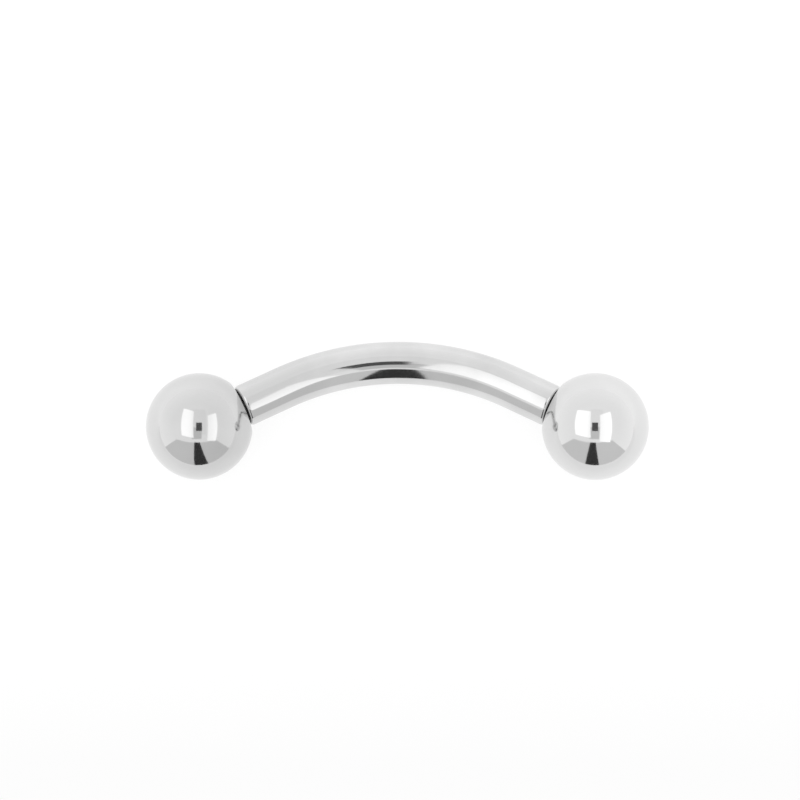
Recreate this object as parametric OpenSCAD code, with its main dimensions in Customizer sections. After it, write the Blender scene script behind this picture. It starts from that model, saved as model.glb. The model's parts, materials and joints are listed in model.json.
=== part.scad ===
// Curved barbell for an eyebrow piercing: a round steel bar bent to an even curve, with a threaded
// post at each end and a ball screwed on each post. Millimetres.
// It lies as it rests by itself, on both balls and on the outside of its bend. +X runs from the left
// ball to the right one, +Y points to the bend and +Z up. The origin is on the surface that it lies on,
// below the middle of its outline.

/* [Bar] */
// Diameter of the bar, 16 gauge
bar_d = 1.2; // [0.8:0.05:1.6]
// Wearable length, straight from ball to ball
wear_length = 8.1; // [7:0.1:14]
// Radius of the bend, to the middle of the bar
bend_radius = 6.95; // [5:0.05:8.5]
// Angle by which each end is bent away from the middle of the bar
bend_angle = 27.5; // [20:0.5:35]
// Radius of the rounded shoulder at each end of the bar
shoulder_round = 0.17; // [0.05:0.01:0.2]

/* [Balls] */
// Diameter of each ball
ball_d = 3; // [2.6:0.1:5]
// Width of the flat that is faced on a ball around its bore
flat_width = 0.2; // [0.1:0.01:0.3]
// Gap between that flat and the shoulder that the ball is screwed up to
seat_gap = 0.03; // [0.02:0.01:0.2]
// Bevel between the flat and the bore
mouth_bevel = 0.04; // [0.02:0.01:0.08]
// Metal left between the point of the bore and the far side of the ball
cap_wall = 0.6; // [0.3:0.05:0.9]
// Angle of the drill point at the bottom of the bore
drill_angle = 118; // [90:1:140]

/* [Threaded posts] */
// How far the crests of the thread stay below the surface of the bar
crest_drop = 0.02; // [0.01:0.01:0.06]
// Depth of the thread, and of the neck turned between it and the shoulder
thread_depth = 0.16; // [0.08:0.01:0.2]
// Length of that neck
neck_length = 0.16; // [0.1:0.02:0.4]
// Bevel at the tip of a post
tip_bevel = 0.12; // [0.04:0.02:0.2]
// Clearance around a post in its bore
post_clearance = 0.02; // [0.01:0.01:0.06]
// Clearance between the tip of a post and the end of the straight bore
tip_clearance = 0.1; // [0.04:0.02:0.3]

/* [Hidden] */
$fn = 96;

bar_r = bar_d / 2;
ball_r = ball_d / 2;
post_r = bar_r - crest_drop;
neck_r = post_r - thread_depth;
bore_r = post_r + post_clearance;
flat_r = bore_r + flat_width;

// The middle of each ball lies on the line of its leg, the straight end of the bar. half_span is its
// distance from the plane of symmetry, leg_length its distance from the bend, and sagitta how far the
// crown of the bend stands from the line between the two.
half_span = (wear_length + ball_d) / 2;
leg_length = (half_span - bend_radius * sin(bend_angle)) / cos(bend_angle);
sagitta = bend_radius * (1 - cos(bend_angle)) + leg_length * sin(bend_angle);

// Places along a leg, from the middle of the ball and positive towards the outside
flat_z = -sqrt(ball_r * ball_r - flat_r * flat_r);
shoulder_z = flat_z - seat_gap;
point_z = ball_r - cap_wall;
bore_end_z = point_z - bore_r / tan(drill_angle / 2);
tip_z = bore_end_z - tip_clearance;

// The rounded shoulder is two bevels that meet on its arc, this far in from each side of the corner
round_drop = shoulder_round * (1 - cos(45));

// Each leg has a tapered root inside the bend, where the two are one piece
root_length = bar_r / 2;
root_taper = bar_r / 10;

// At rest the bend hangs down until the bar touches the surface that both balls stand on. The outline
// reaches from the back of the balls to the crown of the bend, and its middle is on the X axis.
rest_tilt = asin((ball_r - bar_r) / sagitta);
outline_y = (sagitta * cos(rest_tilt) + bar_r - ball_r) / 2;

// Lays the bar's own plane, with the line between the balls on X, down in its resting position
module lying() {
    translate([0, -outline_y, ball_r]) rotate([-rest_tilt, 0, 0]) children();
}

// Turns a piece that stands at the crown of the bend round to the right-hand end of the bend
module at_bend_end() {
    translate([0, sagitta - bend_radius, 0]) rotate([0, 0, -bend_angle]) children();
}

// Puts a piece on the right leg, with its Z axis along the leg and its origin in the ball
module on_leg() {
    at_bend_end() translate([leg_length, bend_radius, 0]) rotate([0, 90, 0]) children();
}

// All that lies on the bend's side of its right-hand end
module before_bend_end() {
    at_bend_end() translate([-2 * bend_radius, 0, -bar_d]) cube([2 * bend_radius, 2 * bend_radius, 2 * bar_d]);
}

// The even bend between the two legs, a part of a ring
module bend() {
    intersection() {
        translate([0, sagitta - bend_radius, 0])
            rotate_extrude() translate([bend_radius, 0]) circle(r = bar_r);
        before_bend_end();
        mirror([1, 0, 0]) before_bend_end();
    }
}

// A straight leg with its root and its shoulder, and the neck and post that are turned on its end
module leg_and_post() {
    rotate_extrude() polygon([
        [0, -leg_length - root_length],
        [bar_r - root_taper, -leg_length - root_length],
        [bar_r, -leg_length],
        [bar_r, shoulder_z - shoulder_round],
        [bar_r - round_drop, shoulder_z - round_drop],
        [bar_r - shoulder_round, shoulder_z],
        [neck_r, shoulder_z],
        [neck_r, shoulder_z + neck_length],
        [post_r, shoulder_z + neck_length + thread_depth],
        [post_r, tip_z - tip_bevel],
        [post_r - tip_bevel, tip_z],
        [0, tip_z],
    ]);
}

// A ball with its blind bore and the flat faced around it
module bored_ball() {
    difference() {
        sphere(r = ball_r);
        rotate_extrude() polygon([
            [0, -ball_d],
            [ball_d, -ball_d],
            [ball_d, flat_z],
            [bore_r + mouth_bevel, flat_z],
            [bore_r, flat_z + mouth_bevel],
            [bore_r, bore_end_z],
            [0, point_z],
        ]);
    }
}

module curved_bar() {
    color([0.76, 0.76, 0.78]) lying() {
        bend();
        on_leg() leg_and_post();
        mirror([1, 0, 0]) on_leg() leg_and_post();
    }
}

module ball_left() {
    color([0.82, 0.82, 0.83]) lying() mirror([1, 0, 0]) on_leg() bored_ball();
}

module ball_right() {
    color([0.82, 0.82, 0.83]) lying() on_leg() bored_ball();
}

curved_bar();
ball_left();
ball_right();
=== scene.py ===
import json
import math

import bpy
import numpy as np
from mathutils import Matrix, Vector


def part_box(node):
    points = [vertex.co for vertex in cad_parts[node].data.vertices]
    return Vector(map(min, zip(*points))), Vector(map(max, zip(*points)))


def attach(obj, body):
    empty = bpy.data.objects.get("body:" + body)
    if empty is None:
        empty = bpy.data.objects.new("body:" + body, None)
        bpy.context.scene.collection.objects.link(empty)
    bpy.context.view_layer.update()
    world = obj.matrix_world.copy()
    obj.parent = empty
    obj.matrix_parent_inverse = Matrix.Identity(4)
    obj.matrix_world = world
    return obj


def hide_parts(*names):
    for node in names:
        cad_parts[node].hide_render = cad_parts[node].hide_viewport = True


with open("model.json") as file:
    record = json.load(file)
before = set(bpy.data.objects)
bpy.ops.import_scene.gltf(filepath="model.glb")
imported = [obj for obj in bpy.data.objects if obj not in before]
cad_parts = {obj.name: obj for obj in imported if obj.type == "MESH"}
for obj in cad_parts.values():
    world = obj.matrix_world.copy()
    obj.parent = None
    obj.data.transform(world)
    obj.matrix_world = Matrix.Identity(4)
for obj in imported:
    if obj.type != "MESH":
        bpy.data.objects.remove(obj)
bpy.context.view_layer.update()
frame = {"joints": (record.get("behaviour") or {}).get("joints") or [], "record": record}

# Curved bar
# The bar is surgical steel wire, 1.2 mm thick, bent cold round a former to one even curve with two short
# straight legs. Each end is rounded, then turned down to a neck and a post with an M1.2 thread, and all
# of it outside the balls is tumbled and buffed to a mirror.
MM = 0.001
piercing = frame["record"]["mounts"][0]
bar_radius = piercing["dims"]["r_mm"] * MM
wearable_length = piercing["dims"]["length_mm"] * MM
crown = np.array(piercing["pos_m"])
ball_low, ball_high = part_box("ball_right")
ball_radius = round((ball_high.z - ball_low.z) / 2, 5)
leg_direction = {joint["child"]: np.array(joint["axis"]) for joint in frame["joints"]}
right_leg = leg_direction["right_ball"]

bend_angle = math.acos(right_leg[0])
rest_tilt = math.atan2(right_leg[2], -right_leg[1])
half_span = wearable_length / 2 + ball_radius
sagitta = (ball_radius - bar_radius) / math.sin(rest_tilt)
bend_radius = (half_span * math.tan(bend_angle) - sagitta) * math.cos(bend_angle) / (1 - math.cos(bend_angle))
bend_end = bend_radius * bend_angle
leg_length = (half_span - bend_radius * math.sin(bend_angle)) / math.cos(bend_angle)
ball_line_y = crown[1] - sagitta * math.cos(rest_tilt)

sideways = np.array([1.0, 0.0, 0.0])
to_crown = np.array([0.0, math.cos(rest_tilt), -math.sin(rest_tilt)])
off_plane = np.array([0.0, math.sin(rest_tilt), math.cos(rest_tilt)])

crest_drop = 0.02 * MM
thread_pitch = 0.25 * MM
thread_depth = 0.16 * MM
neck_length = 0.16 * MM
shoulder_round = 0.17 * MM
tip_bevel = 0.12 * MM
crest_radius = bar_radius - crest_drop
neck_radius = crest_radius - thread_depth

# What the ball leaves for the bar: its flat, the gap on that flat, and the blind bore, in places along the
# leg from the middle of the ball
post_clearance = 0.02 * MM
flat_width = 0.2 * MM
mouth_bevel = 0.04 * MM
cap_wall = 0.6 * MM
drill_angle = math.radians(118)
drill_slope = math.tan(drill_angle / 2)
bore_radius = crest_radius + post_clearance
flat_radius = bore_radius + flat_width
flat_z = -math.sqrt(ball_radius**2 - flat_radius**2)
bore_point_z = ball_radius - cap_wall
bore_end_z = bore_point_z - bore_radius / drill_slope

# Places along the bar from its crown
seat_gap = 0.03 * MM
tip_clearance = 0.1 * MM
ball_centre = bend_end + leg_length
shoulder = ball_centre + flat_z - seat_gap
neck_end = shoulder + neck_length
tip = ball_centre + bore_end_z - tip_clearance


def stretch(start, end, count):
    """Evenly spaced values from start up to, and without, end."""
    return np.linspace(start, end, count, endpoint=False)


def turned(*parts):
    """Rings of a turned profile. Each part is (places, radii, threaded, polished): places along the axis, a
    radius for each or one for all, and two yes-or-no marks for the whole part. Gives four arrays."""
    counts = [len(part[0]) for part in parts]
    places = np.concatenate([part[0] for part in parts])
    radii = np.concatenate([np.broadcast_to(part[1], len(part[0])) for part in parts])
    threaded = np.repeat([part[2] for part in parts], counts)
    polished = np.repeat([part[3] for part in parts], counts)
    return places, radii, threaded, polished


def thread_wave(turns):
    """Height of a thread over its root, 0 to 1, against turns along it: a flat root, a straight flank up, a
    narrow flat crest and a straight flank down."""
    root, flank, crest_end = 0.14, 0.33, 0.92
    share = np.mod(turns, 1.0)
    return np.clip(np.minimum(share - root, crest_end - share) / flank, 0.0, 1.0)


def surface(name, points, unbent, polished, steel):
    """Closed mesh through points[ring, step, xyz]. Quads join each ring to the next and each step to the
    next, all round, and the first and last rings close in fans on their own middles. A band between two
    polished rings takes the first steel and any other band the second. unbent has each point's place, in
    millimetres, on the straight stock that the piece is turned from, and the finish reads it."""
    rings, steps, _ = points.shape
    ring, step = np.meshgrid(np.arange(rings - 1), np.arange(steps), indexing="ij")
    after = (step + 1) % steps
    quads = np.stack([ring * steps + step, ring * steps + after,
                      (ring + 1) * steps + after, (ring + 1) * steps + step], axis=-1).reshape(-1, 4)
    around = np.arange(steps)
    onward = (around + 1) % steps
    first_middle = rings * steps
    last_ring = (rings - 1) * steps
    first_fan = np.stack([np.full(steps, first_middle), onward, around], axis=-1)
    last_fan = np.stack([np.full(steps, first_middle + 1), last_ring + around, last_ring + onward], axis=-1)
    loops = np.concatenate([quads.ravel(), first_fan.ravel(), last_fan.ravel()])
    starts = np.concatenate([np.arange(len(quads)) * 4, len(quads) * 4 + np.arange(2 * steps) * 3])
    bands = np.repeat(polished[:-1] & polished[1:], steps)
    ends = np.repeat([polished[0], polished[-1]], steps)
    steel_number = np.where(np.concatenate([bands, ends]), 0, 1).astype(np.int32)

    def with_middles(grid):
        """The grid's points in one list, and after them the middles of its first and last rings."""
        return np.concatenate([grid.reshape(-1, 3), [grid[0].mean(axis=0), grid[-1].mean(axis=0)]])

    mesh = bpy.data.meshes.new(name)
    mesh.vertices.add(rings * steps + 2)
    mesh.vertices.foreach_set("co", with_middles(points).astype(np.float32).ravel())
    mesh.loops.add(len(loops))
    mesh.loops.foreach_set("vertex_index", loops.astype(np.int32))
    mesh.polygons.add(len(starts))
    mesh.polygons.foreach_set("loop_start", starts.astype(np.int32))
    mesh.polygons.foreach_set("material_index", steel_number)
    mesh.polygons.foreach_set("use_smooth", np.ones(len(starts), bool))
    mesh.update(calc_edges=True)
    stock = mesh.attributes.new("unbent", "FLOAT_VECTOR", "POINT")
    stock.data.foreach_set("vector", (with_middles(unbent) / MM).astype(np.float32).ravel())
    mesh.set_sharp_from_angle(angle=math.radians(30))
    for material in steel:
        mesh.materials.append(material)
    piece = bpy.data.objects.new(name, mesh)
    bpy.context.scene.collection.objects.link(piece)
    return piece


def along_bar(length, radius, turn):
    """Point on the bar. Its centre line is an arc of bend_radius to bend_angle either side of the crown, and
    then a straight leg. The point stands off that line by radius, turned from the outside of the bend
    towards the upper side of the bar."""
    angle = np.clip(length / bend_radius, -bend_angle, bend_angle)
    leg = length - angle * bend_radius
    x = bend_radius * np.sin(angle) + leg * np.cos(angle)
    rise = sagitta - bend_radius * (1 - np.cos(angle)) - leg * np.sin(angle)
    outside = np.sin(angle)[..., None] * sideways + np.cos(angle)[..., None] * to_crown
    middle = np.array([0.0, ball_line_y, ball_radius])
    centre = middle + x[..., None] * sideways + rise[..., None] * to_crown
    spoke = np.cos(turn)[..., None] * outside + np.sin(turn)[..., None] * off_plane
    return centre + radius[..., None] * spoke


def effect(name, inputs, outputs):
    """Empty node group with those named sockets, and its input and output nodes. Each input has a default, a
    number or three, and each output is a number."""
    group = bpy.data.node_groups.new(name, "ShaderNodeTree")
    for label, value in inputs.items():
        kind = "NodeSocketVector" if isinstance(value, tuple) else "NodeSocketFloat"
        group.interface.new_socket(label, in_out="INPUT", socket_type=kind).default_value = value
    for label in outputs:
        group.interface.new_socket(label, in_out="OUTPUT", socket_type="NodeSocketFloat")
    return group, group.nodes.new("NodeGroupInput"), group.nodes.new("NodeGroupOutput")


def put(tree, kind, **settings):
    """New node with those settings."""
    node = tree.nodes.new(kind)
    for label, value in settings.items():
        setattr(node, label, value)
    return node


def noise(tree, place, spread, detail):
    """Noise from 0 to 1 at that place, with as many waves a millimetre along each axis as spread says."""
    scaled = put(tree, "ShaderNodeMapping")
    scaled.inputs["Scale"].default_value = spread
    pattern = put(tree, "ShaderNodeTexNoise")
    pattern.inputs["Scale"].default_value = 1.0
    pattern.inputs["Detail"].default_value = detail
    tree.links.new(place, scaled.inputs["Vector"])
    tree.links.new(scaled.outputs["Vector"], pattern.inputs["Vector"])
    return pattern.outputs["Fac"]


def scaled_sum(tree, first, first_share, second, second_share):
    """first times its share plus second times its share."""
    part = put(tree, "ShaderNodeMath", operation="MULTIPLY")
    both = put(tree, "ShaderNodeMath", operation="MULTIPLY_ADD")
    part.inputs[1].default_value = first_share
    both.inputs[1].default_value = second_share
    tree.links.new(first, part.inputs[0])
    tree.links.new(second, both.inputs[0])
    tree.links.new(part.outputs[0], both.inputs[2])
    return both.outputs[0]


# Buffing leaves a slow ripple with hair-fine marks in it, long ones along the stroke and short ones across.
# Height is in micrometres, and the second output says where the mirror is a little less bright: in clouds,
# and by Slope more for each millimetre towards the low end of the stock's length, which on the balls is
# painted shade on the side that faces the bar.
buffing, given, made = effect("buffing", {"Place": (0.0, 0.0, 0.0), "Slope": 0.0}, ["Height", "Dulling"])
on_stock = given.outputs["Place"]
long_marks = noise(buffing, on_stock, (1.6, 26.0, 26.0), 2.0)
short_marks = noise(buffing, on_stock, (22.0, 3.0, 3.0), 2.0)
marks = scaled_sum(buffing, long_marks, 0.1, short_marks, 0.08)
ripple = noise(buffing, on_stock, (1.1, 1.5, 1.5), 1.0)
buffing.links.new(scaled_sum(buffing, ripple, 1.6, marks, 1.0), made.inputs["Height"])
clouds = noise(buffing, on_stock, (0.7, 0.9, 0.9), 3.0)
lengthways = put(buffing, "ShaderNodeSeparateXYZ")
lean = put(buffing, "ShaderNodeMath", operation="MULTIPLY")
buffing.links.new(on_stock, lengthways.inputs["Vector"])
buffing.links.new(lengthways.outputs["X"], lean.inputs[0])
buffing.links.new(given.outputs["Slope"], lean.inputs[1])
buffing.links.new(scaled_sum(buffing, clouds, 1.0, lean.outputs[0], -1.0), made.inputs["Dulling"])

# A cutting tool leaves close rings, with tearing along them
turning, given, made = effect("turning", {"Place": (0.0, 0.0, 0.0)}, ["Height", "Dulling"])
on_stock = given.outputs["Place"]
tool_rings = noise(turning, on_stock, (60.0, 1.5, 1.5), 3.0)
tears = noise(turning, on_stock, (14.0, 9.0, 9.0), 3.0)
stains = noise(turning, on_stock, (5.0, 3.0, 3.0), 4.0)
turning.links.new(scaled_sum(turning, tool_rings, 2.4, tears, 1.2), made.inputs["Height"])
turning.links.new(stains, made.inputs["Dulling"])


def steel(name, left_by, dull, bright, rough_low, rough_high, dulling_reach=0.15, slope=0.0):
    """Steel whose tone runs from bright to dull, and whose roughness runs from low to high, with the dulling
    that the tool's effect gives, and whose marks stand as high as that tool leaves them. The dulling counts
    from dulling_reach below a half to dulling_reach above it, and slope is the Slope of the buffing."""
    material = bpy.data.materials.new(name)
    material.use_nodes = True
    tree = material.node_tree
    shader = tree.nodes["Principled BSDF"]
    shader.inputs["Metallic"].default_value = 1.0
    where = put(tree, "ShaderNodeAttribute", attribute_name="unbent")
    marks = put(tree, "ShaderNodeGroup", node_tree=left_by)
    dulling = put(tree, "ShaderNodeMapRange")
    dulling.inputs["From Min"].default_value = 0.5 - dulling_reach
    dulling.inputs["From Max"].default_value = 0.5 + dulling_reach
    if slope:
        marks.inputs["Slope"].default_value = slope
    tone = put(tree, "ShaderNodeMix", data_type="RGBA")
    tone.inputs["A"].default_value = (bright, bright, bright, 1.0)
    tone.inputs["B"].default_value = (dull, dull, dull, 1.0)
    rough = put(tree, "ShaderNodeMapRange")
    rough.inputs["To Min"].default_value = rough_low
    rough.inputs["To Max"].default_value = rough_high
    relief = put(tree, "ShaderNodeBump")
    relief.inputs["Distance"].default_value = MM / 1000
    tree.links.new(where.outputs["Vector"], marks.inputs["Place"])
    tree.links.new(marks.outputs["Dulling"], dulling.inputs["Value"])
    tree.links.new(dulling.outputs["Result"], tone.inputs["Factor"])
    tree.links.new(tone.outputs["Result"], shader.inputs["Base Color"])
    tree.links.new(dulling.outputs["Result"], rough.inputs["Value"])
    tree.links.new(rough.outputs["Result"], shader.inputs["Roughness"])
    tree.links.new(marks.outputs["Height"], relief.inputs["Height"])
    tree.links.new(relief.outputs["Normal"], shader.inputs["Normal"])
    return material


# The bar's tone dulls a little towards its left part
polished_bar = steel("polished_bar_steel", buffing, 0.635, 0.7, 0.065, 0.1, slope=0.03)
# The turned steel of necks, threads and bores is set darker than the polished steel; where it shows in the
# gap between a shoulder and its ball, that darker tone is painted shade in the gap.
cut_steel_and_gap_shade = steel("turned_steel_and_gap_shade", turning, 0.42, 0.52, 0.2, 0.32)

# Half the bar from the crown to the tip of its post, and then the other half as its mirror image
bar_steps = 128
bend_rings = 72
leg_rings = 16
corner_rings = 14
neck_rings = 5
bevel_rings = 9
rings_per_pitch = 16
corner = stretch(0.0, math.pi / 2, corner_rings)
leg_end = shoulder - shoulder_round
end_radius = bar_radius - shoulder_round
thread_end = tip - tip_bevel
thread = stretch(neck_end, thread_end, round((thread_end - neck_end) / thread_pitch * rings_per_pitch))
bevel = np.linspace(0.0, 1.0, bevel_rings)
places, radii, threaded, polished = turned(
    (stretch(0.0, bend_end, bend_rings), bar_radius, False, True),
    (stretch(bend_end, leg_end, leg_rings), bar_radius, False, True),
    (leg_end + shoulder_round * np.sin(corner), end_radius + shoulder_round * np.cos(corner), False, True),
    (np.array([shoulder]), end_radius, False, True),
    (stretch(shoulder, neck_end, neck_rings), neck_radius, False, False),
    (thread, np.minimum(neck_radius + thread - neck_end, crest_radius), True, False),
    (thread_end + tip_bevel * bevel, crest_radius - tip_bevel * bevel, True, False),
    (np.array([tip]), (crest_radius - tip_bevel) / 2, False, False),
)
places = np.concatenate([-places[:0:-1], places])
radii, threaded, polished = (np.concatenate([half[:0:-1], half]) for half in (radii, threaded, polished))
length, turn = np.meshgrid(places, stretch(0.0, 2 * math.pi, bar_steps), indexing="ij")
groove = thread_depth * (1 - thread_wave(length / thread_pitch - turn / (2 * math.pi)))
radius = np.where(threaded[:, None], np.minimum(radii[:, None], crest_radius - groove), radii[:, None])
bar_stock = np.stack([length, radius * np.cos(turn), radius * np.sin(turn)], axis=-1)
bar_points = along_bar(length, radius, turn)
bar = surface("curved_bar_steel", bar_points, bar_stock, polished, [polished_bar, cut_steel_and_gap_shade])
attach(bar, "bar")
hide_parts("curved_bar")

# Balls
# Each ball is a 3 mm steel bearing ball, with a flat faced on one side and a blind hole drilled and tapped
# through it, so that it screws up to the rounded shoulder of the bar. It is polished before and after.
ball_steps = 160
sphere_rings = 120
flat_rings = 4
point_rings = 5
tap_depth = 0.06 * MM
point_flat = 0.02 * MM
sphere_angle = np.linspace(0.0, math.pi - math.asin(flat_radius / ball_radius), sphere_rings + 1)[1:]
flat_across = np.linspace(flat_radius, bore_radius + mouth_bevel, flat_rings + 1)[1:]
bore_start_z = flat_z + mouth_bevel
bore = stretch(bore_start_z, bore_end_z, round((bore_end_z - bore_start_z) / thread_pitch * rings_per_pitch))
to_point = np.linspace(bore_end_z, bore_point_z - point_flat, point_rings)
places, radii, threaded, polished = turned(
    (ball_radius * np.cos(sphere_angle), ball_radius * np.sin(sphere_angle), False, True),
    (np.full(flat_rings, flat_z), flat_across, False, True),
    (bore, bore_radius, True, False),
    (to_point, (bore_point_z - to_point) * drill_slope, False, False),
)


def along_leg(leg, place, radius, turn):
    """Point about a leg: place along it from the middle of the ball, and radius from it, turned about it."""
    inward = np.cross(off_plane, leg)
    centre = np.array([np.sign(leg[0]) * half_span, ball_line_y, ball_radius]) + place[..., None] * leg
    spoke = np.cos(turn)[..., None] * inward + np.sin(turn)[..., None] * off_plane
    return centre + radius[..., None] * spoke


# The left ball's tone is set a little darker than the right one's. Each swings by swing from its middle tone,
# and dulls towards its bore, the side that faces the bar: painted shade on that side. reach is how wide its
# dulling counts, and how fast the dulling grows for each millimetre towards the bore.
for side, tone, swing, reach in (("left", 0.634, 0.04, 0.4), ("right", 0.7, 0.02, 0.2)):
    polished_ball = steel("polished_" + side + "_ball", buffing, tone - swing, tone + swing, 0.065, 0.1,
                          dulling_reach=reach, slope=reach)
    place, turn = np.meshgrid(places, -stretch(0.0, 2 * math.pi, ball_steps), indexing="ij")
    tap = tap_depth * thread_wave(place / thread_pitch - turn / (2 * math.pi))
    radius = radii[:, None] + tap * threaded[:, None]
    points = along_leg(leg_direction[side + "_ball"], place, radius, turn)
    ball_stock = np.stack([place, radius * np.cos(turn), radius * np.sin(turn)], axis=-1)
    ball = surface("ball_" + side + "_steel", points, ball_stock, polished, [polished_ball, cut_steel_and_gap_shade])
    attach(ball, side + "_ball")
    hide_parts("ball_" + side)

# Table, light and camera
# The barbell lies on a plain white table, in a small light tent whose white walls glow evenly. Two of its
# sides are lit more strongly, its front is open to a darker room, and the camera looks straight down
# through a slot in its roof. Walls and roof show only as reflections in the steel.
def glow(name, radiance, fades=None, paint=0.0):
    """Material that gives off light of that radiance, and scatters the light on it as its paint does. fades
    is (axis, start, end, radiance): from start to end along that axis, in millimetres, the light changes to
    that other radiance."""
    material = bpy.data.materials.new(name)
    material.use_nodes = True
    tree = material.node_tree
    tree.nodes.remove(tree.nodes["Principled BSDF"])
    light = put(tree, "ShaderNodeEmission")
    light.inputs["Strength"].default_value = radiance
    if fades:
        axis, start, end, other_radiance = fades
        place = put(tree, "ShaderNodeTexCoord")
        along = put(tree, "ShaderNodeSeparateXYZ")
        fade = put(tree, "ShaderNodeMapRange")
        fade.inputs["From Min"].default_value = start * MM
        fade.inputs["From Max"].default_value = end * MM
        fade.inputs["To Min"].default_value = radiance
        fade.inputs["To Max"].default_value = other_radiance
        tree.links.new(place.outputs["Object"], along.inputs["Vector"])
        tree.links.new(along.outputs[axis], fade.inputs["Value"])
        tree.links.new(fade.outputs["Result"], light.inputs["Strength"])
    scatter = put(tree, "ShaderNodeBsdfDiffuse")
    scatter.inputs["Color"].default_value = (paint, paint, paint, 1.0)
    both = put(tree, "ShaderNodeAddShader")
    tree.links.new(light.outputs["Emission"], both.inputs[0])
    tree.links.new(scatter.outputs["BSDF"], both.inputs[1])
    tree.links.new(both.outputs["Shader"], tree.nodes["Material Output"].inputs["Surface"])
    return material


def level(left, right, front, back, height):
    """Corners of a level card, in millimetres."""
    return [(left, front, height), (right, front, height), (right, back, height), (left, back, height)]


def card(name, corners, radiance, fades=None, paint=0.0, seen=("glossy",)):
    """Flat stage card through four corners in millimetres, which glows as glow() says. seen names the kinds
    of ray that meet it."""
    mesh = bpy.data.meshes.new(name)
    mesh.from_pydata((np.array(corners) * MM).tolist(), [], [(0, 1, 2, 3)])
    mesh.materials.append(glow(name, radiance, fades, paint))
    sheet = bpy.data.objects.new(name, mesh)
    bpy.context.scene.collection.objects.link(sheet)
    for ray in ("camera", "diffuse", "glossy", "transmission", "volume_scatter", "shadow"):
        setattr(sheet, "visible_" + ray, ray in seen)


# The table glows a little less towards the front
card("table", level(-1000, 1000, -1000, 1000, 0), 0.67, ("Y", -10, 6, 0.824), 0.3,
     ("camera", "diffuse", "glossy", "shadow"))

# The left lit side widens and fades towards the roof. The right one is a card that lies level, close to the
# barbell, and fades towards the camera.
card("lit_side_left", [(-30, -14, 38), (-30, 32, 38), (-33, 131, 209), (-33, -94, 209)],
     1.49, ("Z", 63, 209, 1.24))
card("lit_side_right", [(36, -33, 44.5), (36, 30, 44.5), (13, 19, 44.5), (13, -27, 44.5)],
     1.32, ("X", 13, 31, 1.5))

# In front the room is grey, with a dark gap that narrows upwards
front = -77
front_top = 113
card("front_opening", [(-132, front, 0), (-132, front, front_top), (100, front, front_top), (100, front, 0)],
     0.734)
gap = front + 1
card("dark_gap", [(-15, gap, 0), (-19, gap, front_top), (7, gap, front_top), (13, gap, 0)], 0.04)

# The camera's own front, and behind it the middle strip of the roof, whose front part is in the shade
camera_height = 112
strip_height = 320
card("camera_front", level(-9, 16, -19, 16, camera_height), 0.09)
card("roof_strip", level(-74, 110, -101, 240, strip_height), 0.96)
card("roof_strip_shade", level(-74, 52, -161, -9, strip_height - 2), 0.68)

# The walls of the tent glow a little more near the table than from roof_edge up, a height as a share of the
# distance
horizon_glow = 1.117
roof_glow = 1.029
roof_edge = 0.6
world = bpy.data.worlds.new("tent_walls")
world.use_nodes = True
sky = world.node_tree
direction = put(sky, "ShaderNodeTexCoord")
height = put(sky, "ShaderNodeSeparateXYZ")
fade = put(sky, "ShaderNodeMapRange")
fade.inputs["From Max"].default_value = roof_edge
fade.inputs["To Min"].default_value = horizon_glow
fade.inputs["To Max"].default_value = roof_glow
sky.links.new(direction.outputs["Generated"], height.inputs["Vector"])
sky.links.new(height.outputs["Z"], fade.inputs["Value"])
sky.nodes["Background"].inputs["Color"].default_value = (1.0, 1.0, 1.0, 1.0)
sky.links.new(fade.outputs["Result"], sky.nodes["Background"].inputs["Strength"])
scene = bpy.context.scene
scene.world = world

# The camera stands as far off and as far to the right as its own reflections in the steel say, and its aim
# puts both balls where the photo has them
camera_place = np.array([4.4, 0.05, camera_height]) * MM
camera_aim = np.array([0.087, 0.295, 1.5]) * MM
camera_field = math.radians(11.57)
forward = (camera_aim - camera_place) / np.linalg.norm(camera_aim - camera_place)
right = np.cross(forward, (0.0, 1.0, 0.0))
right /= np.linalg.norm(right)
stand = np.eye(4)
stand[:3, :] = np.stack([right, np.cross(right, forward), -forward, camera_place], axis=1)
camera = bpy.data.objects.new("camera", bpy.data.cameras.new("camera"))
scene.collection.objects.link(camera)
scene.camera = camera
camera.matrix_world = Matrix(stand)
camera.data.angle = camera_field
camera.data.clip_start = MM
camera.data.clip_end = 10.0
scene.view_settings.view_transform = "Standard"
